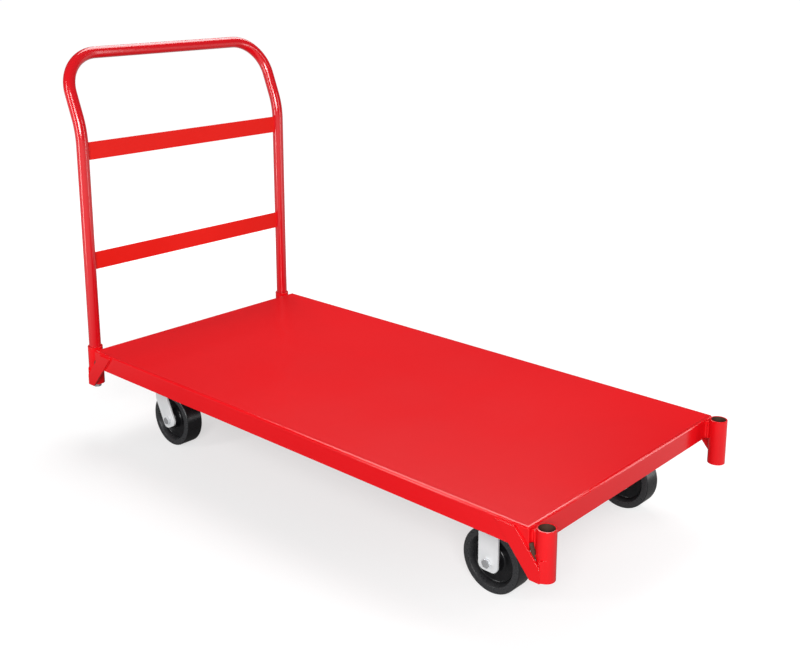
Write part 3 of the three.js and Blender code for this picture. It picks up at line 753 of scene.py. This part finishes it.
rake = math.radians(27)
for hand in ("left", "right"):
    low, high = span(f"rear_{hand}_swivel_fork")
    wheel_low, wheel_high = span(f"rear_{hand}_wheel")
    axle = (wheel_low + wheel_high) / 2
    pin_low, pin_high = span(f"rear_{hand}_kingpin")
    pin = (pin_low + pin_high) / 2
    crown_radius, crown_top = 44.0, high.z
    crown_bottom = crown_top - leg_thickness
    half, drop, knee, heel = 25.0, 21.0, 48.0, 5.0
    edge = half / math.cos(rake)

    def raked(u, w):
        """A point given across and along the leg, from the axle"""
        return (u * math.cos(rake) - w * math.sin(rake), axle.z + u * math.sin(rake)
                + w * math.cos(rake))

    top = crown_top - 0.3 - axle.z
    knee_x = -edge - knee * math.tan(rake)
    outline = rounded([
        (*raked(-half, -drop), foot_corner), (*raked(half, -drop), foot_corner),
        (edge - top * math.tan(rake), axle.z + top), (knee_x - heel, axle.z + top),
        (knee_x, axle.z + knee, 26)], steps=8)
    fork_shapes = [placed(turned([
        (8.4, crown_bottom), (crown_radius - 1.6, crown_bottom), (crown_radius - 0.5,
         crown_bottom + 0.5), (crown_radius, crown_bottom + 1.6), (crown_radius, crown_top - 2.4),
        (crown_radius - 0.7, crown_top - 0.7), (crown_radius - 2.4, crown_top),
        (8.4, crown_top)], 72), shift((pin.x, pin.y, 0)))]
    gap = span(f"rear_{hand}_spanner_sleeve")
    crown_lines = []
    for way in (-1, 1):
        inner = (gap[1].y - gap[0].y) / 2 + 0.3
        face_y = axle.y + (inner + leg_thickness if way > 0 else -inner)
        fork_shapes.append(placed(
            cut_plate(outline, leg_thickness, [circle(axle_hole, 24, 0, axle.z)], leg_edge),
            side_view, shift((axle.x, face_y, 0))))
        reach = math.sqrt(crown_radius ** 2 - (inner + leg_thickness) ** 2)
        for y in (face_y - 0.2, face_y - leg_thickness + 0.2):
            crown_lines.append([(pin.x - reach + 2, y, crown_bottom - 0.1),
                                (pin.x + reach - 2, y, crown_bottom - 0.1)])
    fork_shapes.append(beads(crown_lines, Bead_width=4.2, Seed=13, Finish=zinc))
    piece(f"rear_{hand}_raked_fork", joined(*fork_shapes), f"rear_{hand}_swivel",
          [zinc], [f"rear_{hand}_swivel_fork"])

# ---- Swivel heads -------------------------------------------------------------------------------
# The plate has a pressed race, a lower race hangs below it, and a ring of hardened balls runs
# between the two. A kingpin, flared at the top and headed below, holds the crown up to them.
bearing_steel = finish(
    "oiled_bearing_steel", [(0.42, 0.43, 0.45), (0.30, 0.31, 0.33)], patch=90.0,
    roughness=(0.22, 0.36), grain=1200.0, relief=0.00002, Metallic=0.9)


def repeat_tree():
    """Puts a copy of one small part on each point, each turned a little differently"""
    tree = bpy.data.node_groups.new("repeated_part", "GeometryNodeTree")
    face = tree.interface
    face.new_socket("Places", in_out="INPUT", socket_type="NodeSocketGeometry")
    face.new_socket("Part", in_out="INPUT", socket_type="NodeSocketObject")
    face.new_socket("Turn", in_out="INPUT", socket_type="NodeSocketFloat")
    face.new_socket("Seed", in_out="INPUT", socket_type="NodeSocketInt").default_value = 1
    face.new_socket("Finish", in_out="INPUT", socket_type="NodeSocketMaterial")
    face.new_socket("Parts", in_out="OUTPUT", socket_type="NodeSocketGeometry")
    nodes, links = tree.nodes, tree.links
    given, made = nodes.new("NodeGroupInput"), nodes.new("NodeGroupOutput")
    part = nodes.new("GeometryNodeObjectInfo")
    links.new(given.outputs["Part"], part.inputs["Object"])
    turn = nodes.new("FunctionNodeRandomValue")
    turn.data_type = "FLOAT"
    back = nodes.new("ShaderNodeMath")
    back.operation = "MULTIPLY"
    back.inputs[1].default_value = -1.0
    links.new(given.outputs["Turn"], back.inputs[0])
    links.new(back.outputs["Value"], turn.inputs[2])
    links.new(given.outputs["Turn"], turn.inputs[3])
    links.new(given.outputs["Seed"], turn.inputs["Seed"])
    about_z = nodes.new("ShaderNodeCombineXYZ")
    links.new(turn.outputs[1], about_z.inputs["Z"])
    rotation = nodes.new("FunctionNodeEulerToRotation")
    links.new(about_z.outputs["Vector"], rotation.inputs["Euler"])
    copies = nodes.new("GeometryNodeInstanceOnPoints")
    links.new(given.outputs["Places"], copies.inputs["Points"])
    links.new(part.outputs["Geometry"], copies.inputs["Instance"])
    links.new(rotation.outputs["Rotation"], copies.inputs["Rotation"])
    plain = nodes.new("GeometryNodeRealizeInstances")
    links.new(copies.outputs["Instances"], plain.inputs["Geometry"])
    coated = nodes.new("GeometryNodeSetMaterial")
    links.new(plain.outputs["Geometry"], coated.inputs["Geometry"])
    links.new(given.outputs["Finish"], coated.inputs["Material"])
    links.new(coated.outputs["Geometry"], made.inputs["Parts"])
    return tree


repeat_group = repeat_tree()


def repeated(shape, places, material, turn=0.0, seed=1):
    """Copies of a shape at each place"""
    mesh = bpy.data.meshes.new("part")
    shape.to_mesh(mesh)
    shape.free()
    part = bpy.data.objects.new("part", mesh)
    bpy.context.scene.collection.objects.link(part)
    copies = grown(repeat_group, places, [], Part=part, Turn=turn, Seed=seed, Finish=material)
    bpy.data.objects.remove(part)
    bpy.data.meshes.remove(mesh)
    return copies


def dome(radius, steps=6):
    """A ball's profile from pole to pole"""
    return [(radius * math.sin(math.pi * i / (2 * steps)) if 0 < i < 2 * steps else 0.0,
             -radius * math.cos(math.pi * i / (2 * steps))) for i in range(2 * steps + 1)]


for hand in ("left", "right"):
    low, high = span(f"rear_{hand}_swivel_plate")
    middle = (low + high) / 2
    here = shift((middle.x, middle.y, 0))
    plate = bolted_plate(high.x - low.x, high.y - low.y, 9, high.z - low.z, 0.8)
    piece(f"rear_{hand}_top_plate", placed(plate, shift((middle.x, middle.y, low.z))),
          "deck_frame", [zinc], [f"rear_{hand}_swivel_plate"])

    low, high = span(f"rear_{hand}_ball_ring")
    outer = (high.x - low.x) / 2
    split = (low.z + high.z) / 2
    ball_radius = 3.2
    ball_circle = outer - 5.0
    upper_race = turned([
        (9, high.z), (9, split + 2), (outer - 9, split + 2), (outer - 6.5, split + 3.6),
        (outer - 3.5, split + 3.6), (outer - 1.2, split + 1.6), (outer - 0.3, split + 1.8),
        (outer, split + 2.6), (outer, high.z - 1.5), (outer - 1.5, high.z)], 72)
    lower_race = turned([
        (9, low.z), (outer - 2.5, low.z), (outer - 0.8, low.z + 0.8), (outer - 0.5, low.z + 2.5),
        (outer - 0.9, split - 1.6), (outer - 2, split - 1.4), (outer - 3.5, split - 3),
        (outer - 6.5, split - 3), (outer - 9, split - 1), (9, split - 1)], 72)
    ball = turned(dome(ball_radius), 12, closed=False)
    balls = repeated(ball, [(*place, split + 0.2) for place in circle(ball_circle, 30)],
                     bearing_steel)
    for face in balls.faces:
        face.material_index = 1
    piece(f"rear_{hand}_ball_race", placed(joined(upper_race, lower_race, balls), here),
          "deck_frame", [zinc, bearing_steel], [f"rear_{hand}_ball_ring"])

    low, high = span(f"rear_{hand}_kingpin")
    head = (high.x - low.x) / 2
    pin = turned([
        (0, low.z), (5, low.z), (6, low.z + 0.8), (head - 3, low.z + 1), (head - 0.8, low.z + 2.4),
        (head, low.z + 3.8), (head, low.z + 5.6), (head - 0.4, low.z + 6), (8, low.z + 6),
        (8, high.z - 4), (11.7, high.z), (0, high.z)], 48, closed=False)
    piece(f"rear_{hand}_swivel_kingpin", placed(pin, here), "deck_frame", [zinc],
          [f"rear_{hand}_kingpin"])

# ---- Wheels -------------------------------------------------------------------------------------
# Six by two inch moulded black wheels: a flat tread with small shoulders, a flat rim ring on each
# side, a sloping dish down to a thin web, and a plain hub that stands a little proud.
wheel_black = finish(
    "moulded_black", [(0.008, 0.008, 0.009), (0.004, 0.004, 0.005)], patch=70.0,
    roughness=(0.26, 0.32), grain=300.0, relief=0.0, lighter_tone=(0.062, 0.063, 0.066))
about_y = Matrix.Rotation(-math.pi / 2, 4, "X")
carriers = {"front": "deck_frame", "rear": "rear_{}_swivel"}
for end, hand in corners:
    low, high = span(f"{end}_{hand}_wheel")
    middle = (low + high) / 2
    tread = (high.z - low.z) / 2
    hub_half = (high.y - low.y) / 2
    half = hub_half - 1.6
    rim = tread - 16
    web = half - 15.5
    sleeve_low, sleeve_high = span(f"{end}_{hand}_roller_bearing")
    bore = (sleeve_high.z - sleeve_low.z) / 2 + 0.4
    side = rounded([
        (bore, 0), (bore, hub_half, 0.8), (26, hub_half, 1.6), (27.2, web, 4), (rim - 7, web, 3.5),
        (rim, half, 1.2), (tread, half, 3.8), (tread, 0)], closed=False, steps=5)
    around = side[1:-1]
    ridge = [(tread, 0.7), (tread - 0.05, 0.35), (tread - 0.05, -0.35), (tread, -0.7)]
    profile = [(r, y) for r, y in around] + ridge + [(r, -y) for r, y in reversed(around)]
    wheel = turned(profile, 96)
    solid = piece(f"{end}_{hand}_moulded_wheel",
                  placed(wheel, about_y, shift((middle.x, middle.y, middle.z))),
                  f"{end}_{hand}_wheel_set", [wheel_black], [f"{end}_{hand}_wheel"])
    # The flat rim rings take the lighter tone in full, the tread a trace of it, the dish and hub
    # none
    lighter_tone = solid.data.attributes.new("lighter_tone", "FLOAT", "POINT")
    centre = Vector((middle.x, middle.z)) / 1000
    reach = [(Vector((v.co.x, v.co.z)) - centre).length * 1000 for v in solid.data.vertices]
    lighter_tone.data.foreach_set("value", [
        0.1 if r > tread - 1 else 1.0 if r > rim - 0.5 else 0.0 for r in reach])

# ---- Bearings, sleeves and axle hardware --------------------------------------------------------
# Straight rollers in a pressed cage run on a hardened sleeve that the axle bolt clamps between the
# fork legs. The bolt's hex head is on the outer side of the cart and a plain nut on the inner.
bright_hardware = finish(
    "bright_zinc_hardware", [(0.86, 0.87, 0.88), (0.74, 0.76, 0.78)], patch=60.0,
    roughness=(0.18, 0.28), grain=900.0, relief=0.00001, Metallic=0.75)
half_inch = 6.35
across_flats = 19.05
hex_height = 8.3


def hexagon(across, height, bore=0.0, both=False):
    """A hex head or nut from z = 0 up, its corners turned off at 30 degrees as by a lathe"""
    shape = bmesh.new()
    facets = 48
    crown = 0.475 * across
    rings = []

    def ring(level):
        verts = []
        for i in range(facets):
            turn = math.tau * i / facets
            corner = (turn + math.pi / 6) % (math.pi / 3) - math.pi / 6
            reach = across / 2 / math.cos(corner)
            radius, z = level(reach)
            verts.append(shape.verts.new((radius * math.cos(turn), radius * math.sin(turn), z)))
        rings.append(verts)

    ease = math.tan(math.pi / 6)
    foot = (lambda r: (r, (r - crown) * ease)) if both else (lambda r: (r, 0.0))
    ring(lambda r: (bore if bore else 0.01, 0.0))
    ring(lambda r: (crown, 0.0))
    ring(foot)
    ring(lambda r: (r, height - (r - crown) * ease))
    ring(lambda r: (crown, height))
    ring(lambda r: (bore if bore else 0.01, height))
    for first, second in zip(rings, rings[1:] + rings[:1]):
        for i in range(facets):
            j = (i + 1) % facets
            shape.faces.new((first[i], first[j], second[j], second[i]))
    return shape


def threaded(radius, start, stop, pitch=1.95):
    """A profile of thread ridges from start up to stop"""
    points, z = [(radius - 0.2, start)], start
    while z + pitch <= stop:
        points += [(radius, z + pitch * 0.4), (radius, z + pitch * 0.55), (radius - 0.9, z + pitch)]
        z += pitch
    return points


for end, hand in corners:
    way = 1 if hand == "left" else -1
    low, high = span(f"{end}_{hand}_wheel")
    here = shift((low + high) / 2)
    carrier = carriers[end].format(hand)
    set_body = f"{end}_{hand}_wheel_set"

    low, high = span(f"{end}_{hand}_roller_bearing")
    length = high.y - low.y
    outer = (high.z - low.z) / 2
    low, high = span(f"{end}_{hand}_spanner_sleeve")
    inner = (high.z - low.z) / 2 + 0.4
    cage = turned([
        (inner, -length / 2), (outer - 0.6, -length / 2), (outer, -length / 2 + 0.6),
        (outer, length / 2 - 0.6), (outer - 0.6, length / 2), (inner, length / 2),
        (inner + 0.6, length / 2 - 2), (inner + 0.6, 2 - length / 2)], 48)
    roller = turned([(0, 1 - length / 2), (1.9, 1 - length / 2), (2.2, 1.4 - length / 2),
                     (2.2, length / 2 - 0.4), (1.9, length / 2 + 0.1), (0, length / 2 + 0.1)], 10,
                    closed=False)
    rollers = repeated(roller, [(*place, 0) for place in circle((inner + outer) / 2, 12)],
                       bearing_steel)
    piece(f"{end}_{hand}_roller_cage", placed(joined(cage, rollers), about_y, here), set_body,
          [bearing_steel], [f"{end}_{hand}_roller_bearing"])

    reach = (high.y - low.y) / 2
    outer = (high.z - low.z) / 2
    sleeve = turned([
        (half_inch + 0.4, -reach), (outer - 0.7, -reach), (outer, 0.7 - reach),
        (outer, reach - 0.7), (outer - 0.7, reach), (half_inch + 0.4, reach)], 40)
    piece(f"{end}_{hand}_axle_sleeve", placed(sleeve, about_y, here), carrier,
          [bearing_steel], [f"{end}_{hand}_spanner_sleeve"])

    low, high = span(f"{end}_{hand}_axle_bolt")
    wheel_low, wheel_high = span(f"{end}_{hand}_wheel")
    middle = (wheel_low.y + wheel_high.y) / 2
    tail, crest = middle - low.y, high.y - middle
    if way < 0:
        tail, crest = crest, tail
    head_from = crest - hex_height
    nut_low, nut_high = span(f"{end}_{hand}_axle_nut")
    nut_reach = middle - nut_low.y if way > 0 else nut_high.y - middle
    head = placed(hexagon(across_flats, hex_height), shift((0, 0, head_from)))
    shank = turned([(0, -tail), (half_inch - 1.2, -tail),
                    *threaded(half_inch, 0.4 - tail, 4 - nut_reach), (half_inch, 6 - nut_reach),
                    (half_inch, head_from + 1), (0, head_from + 1)], 32,
                   closed=False)
    outward = about_y if way > 0 else Matrix.Rotation(math.pi / 2, 4, "X")
    spin = Matrix.Rotation(0.35 if end == "front" else 0.9, 4, "Z")
    piece(f"{end}_{hand}_hex_axle_bolt", placed(joined(head, shank), spin, outward, here), carrier,
          [bright_hardware], [f"{end}_{hand}_axle_bolt"])
    height = nut_high.y - nut_low.y
    nut = placed(hexagon(across_flats, height, half_inch + 0.1, both=True),
                 shift((0, 0, -nut_reach)))
    piece(f"{end}_{hand}_hex_axle_nut", placed(nut, spin, outward, here), carrier,
          [bright_hardware], [f"{end}_{hand}_axle_nut"])

# ---- Caster plate bolts -------------------------------------------------------------------------
# Four 3/8 inch hex bolts fix each caster: the head is under the caster plate, and the nut and its
# split washer are above the pad, beside the channel. All are bright zinc plated.
small_radius = 4.76
small_flats = 14.29
small_head = 6.1
for end, hand in corners:
    name = f"{end}_{hand}_fork" if end == "front" else f"{end}_{hand}_swivel_plate"
    low, high = span(name)
    pad_low, pad_high = span(f"{end}_{hand}_caster_pad")
    middle = (pad_low + pad_high) / 2
    under, over = high.z - plate_thickness, pad_high.z
    head = placed(hexagon(small_flats, small_head), Matrix.Rotation(math.pi, 4, "X"))
    depth = over - under
    shank = turned([
        (0, -1), (small_radius, -1), *threaded(small_radius, depth, depth + 12, 1.59),
        (small_radius - 1.2, depth + 13.2), (0, depth + 13.2)], 20, closed=False)
    split = turned([
        (small_radius + 0.3, depth + 0.05), (small_radius + 3.2, depth + 0.05),
        (small_radius + 3.5, depth + 0.4), (small_radius + 3.5, depth + 1.6),
        (small_radius + 3.2, depth + 1.95), (small_radius + 0.3, depth + 1.95)], 24)
    nut = placed(hexagon(small_flats, 8.2, small_radius + 0.1, both=True),
                 shift((0, 0, depth + 2.05)))
    places = [(middle.x + side_x * bolt_span[0] / 2, middle.y + side_y * bolt_span[1] / 2, under)
              for side_x in (-1, 1) for side_y in (-1, 1)]
    quarter_turn = Matrix.Rotation(math.pi / 6, 4, "Z")
    bolts = repeated(placed(joined(head, shank, split, nut), quarter_turn @ quarter_turn), places,
                     zinc, turn=0.05, seed=len(end) + len(hand))
    piece(f"{end}_{hand}_plate_bolts", bolts, "deck_frame", [bright_hardware])

# ---- Handle fixings -----------------------------------------------------------------------------
# A steel plug in each post's foot is tapped for a half inch bolt, which comes up through the
# socket's base with a plain washer and draws the post down.
for hand in ("left", "right"):
    low, high = span(f"{hand}_post_plug")
    middle = (low + high) / 2
    here = shift((middle.x, middle.y, 0))
    outer = (high.x - low.x) / 2
    plug = turned([
        (half_inch + 0.5, low.z), (outer - 1, low.z), (outer, low.z + 1), (outer, high.z - 1),
        (outer - 1, high.z), (half_inch + 0.5, high.z)], 40)
    piece(f"{hand}_tapped_post_plug", placed(plug, here), "handle",
          [bearing_steel], [f"{hand}_post_plug"])

    low, high = span(f"{hand}_handle_bolt")
    head = placed(hexagon(across_flats, hex_height), Matrix.Rotation(math.pi, 4, "X"),
                  shift((0, 0, low.z + hex_height)))
    shank = turned([
        (0, low.z + 4), (half_inch, low.z + 4), (half_inch, low.z + 12),
        *threaded(half_inch, low.z + 14, high.z - 1), (half_inch - 1.2, high.z), (0, high.z)], 32,
        closed=False)
    spin = Matrix.Rotation(0.3, 4, "Z")
    piece(f"{hand}_handle_hex_bolt", placed(joined(head, shank), spin, here),
          f"{hand}_handle_fixing", [bright_hardware], [f"{hand}_handle_bolt"])

    low, high = span(f"{hand}_handle_washer")
    outer = (high.x - low.x) / 2
    washer = turned([
        (half_inch + 0.5, low.z + 0.3), (half_inch + 0.8, low.z), (outer - 0.5, low.z),
        (outer, low.z + 0.5), (outer, high.z - 0.3), (outer - 0.3, high.z),
        (half_inch + 0.5, high.z)], 48)
    piece(f"{hand}_handle_plain_washer", placed(washer, here), f"{hand}_handle_fixing",
          [bright_hardware], [f"{hand}_handle_washer"])

# ---- Studio -------------------------------------------------------------------------------------
# A pale floor that runs to the horizon, glowing white far off and darker round the cart as a
# painted shadow, a broad light overhead, and two tall strips that draw the bright lines down the
# tubes.
floor_size = 60.0
floor_mesh = bpy.data.meshes.new("floor")
half = floor_size / 2
floor_mesh.from_pydata([(-half, -half, 0), (half, -half, 0), (half, half, 0), (-half, half, 0)], [],
                       [(0, 1, 2, 3)])
floor = bpy.data.objects.new("floor", floor_mesh)
bpy.context.scene.collection.objects.link(floor)
pale = bpy.data.materials.new("pale_floor")
pale.use_nodes = True
nodes, links = pale.node_tree.nodes, pale.node_tree.links
paint = nodes["Principled BSDF"]
paint.inputs["Roughness"].default_value = 0.9
paint.inputs["Specular IOR Level"].default_value = 0.0
paint.inputs["Emission Color"].default_value = (1, 1, 1, 1)
# Painted shadow: the camera sees the floor glow less near the cart, so it shows darker there and
# white further off.
reach = nodes.new("ShaderNodeVectorMath")
reach.operation = "DISTANCE"
reach.inputs[1].default_value = (-0.35, 0.0, 0.0)
links.new(nodes.new("ShaderNodeTexCoord").outputs["Object"], reach.inputs[0])
glow_with_painted_shadow = nodes.new("ShaderNodeMapRange")
glow_with_painted_shadow.interpolation_type = "SMOOTHSTEP"
for label, value in (("From Min", 0.55), ("From Max", 2.4), ("To Min", 0.59), ("To Max", 0.97)):
    glow_with_painted_shadow.inputs[label].default_value = value
links.new(reach.outputs["Value"], glow_with_painted_shadow.inputs["Value"])
# The floor looks white, but sends little light back up into the paint
seen = nodes.new("ShaderNodeLightPath")
fill = nodes.new("ShaderNodeMapRange")
for label, value in (("From Min", 0.9), ("From Max", 1.7), ("To Min", 0.04), ("To Max", 0.5)):
    fill.inputs[label].default_value = value
links.new(reach.outputs["Value"], fill.inputs["Value"])
bounce = nodes.new("ShaderNodeMix")
bounce.data_type = "RGBA"
bounce.inputs[6].default_value = (0.12, 0.12, 0.12, 1.0)
bounce.inputs[7].default_value = (0.42, 0.42, 0.42, 1.0)
links.new(seen.outputs["Is Camera Ray"], bounce.inputs[0])
links.new(bounce.outputs[2], paint.inputs["Base Color"])
lit = nodes.new("ShaderNodeMix")
links.new(seen.outputs["Is Camera Ray"], lit.inputs[0])
links.new(fill.outputs["Result"], lit.inputs[2])
links.new(glow_with_painted_shadow.outputs["Result"], lit.inputs[3])
links.new(lit.outputs[0], paint.inputs["Emission Strength"])
floor_mesh.materials.append(pale)


def soft_light(name, place, target, width, height, power):
    lamp = bpy.data.lights.new(name, "AREA")
    lamp.shape = "RECTANGLE"
    lamp.size, lamp.size_y = width, height
    lamp.energy = power
    stand = bpy.data.objects.new(name, lamp)
    stand.location = place
    stand.rotation_euler = (Vector(target) - Vector(place)).to_track_quat("-Z", "Y").to_euler()
    bpy.context.scene.collection.objects.link(stand)


soft_light("overhead_softbox", (-1.5, 1.6, 3.5), (0, 0, 0.2), 2.6, 2.6, 106)
soft_light("front_softbox", (3.6, -4.1, 2.6), (0, 0, 0.3), 2.4, 2.4, 300)
soft_light("left_strip", (-1.05, -2.35, 1.1), (-0.8, 0, 1.0), 0.5, 2.2, 22)
soft_light("right_strip", (1.45, 1.05, 1.1), (-0.8, 0, 1.0), 0.4, 2.2, 10)

world = bpy.data.worlds.new("studio")
world.use_nodes = True
bpy.context.scene.world = world
nodes, links = world.node_tree.nodes, world.node_tree.links
for node in list(nodes):
    nodes.remove(node)
dim, bright = nodes.new("ShaderNodeBackground"), nodes.new("ShaderNodeBackground")
dim.inputs["Color"].default_value = (0.95, 0.97, 1.0, 1)
dim.inputs["Strength"].default_value = 0.1
bright.inputs["Color"].default_value = (1, 1, 1, 1)
seen = nodes.new("ShaderNodeLightPath")
choice = nodes.new("ShaderNodeMixShader")
sky = nodes.new("ShaderNodeOutputWorld")
links.new(seen.outputs["Is Camera Ray"], choice.inputs[0])
links.new(dim.outputs["Background"], choice.inputs[1])
links.new(bright.outputs["Background"], choice.inputs[2])
links.new(choice.outputs["Shader"], sky.inputs["Surface"])

# ---- Camera -------------------------------------------------------------------------------------
# Standing off the free end's right corner and looking down along the deck to the handle.
camera_place = Vector((1.984, -2.060, 1.358))
camera_yaw = math.radians(42.29)
camera_tilt = math.radians(13.11)
camera_data = bpy.data.cameras.new("camera")
camera_data.sensor_width = 36.0
camera_data.lens = 50.98
camera_data.shift_y = -0.14
camera = bpy.data.objects.new("camera", camera_data)
camera.location = camera_place
camera.rotation_euler = (math.pi / 2 - camera_tilt, 0, camera_yaw)
bpy.context.scene.collection.objects.link(camera)
bpy.context.scene.camera = camera
bpy.context.scene.view_settings.view_transform = "Standard"
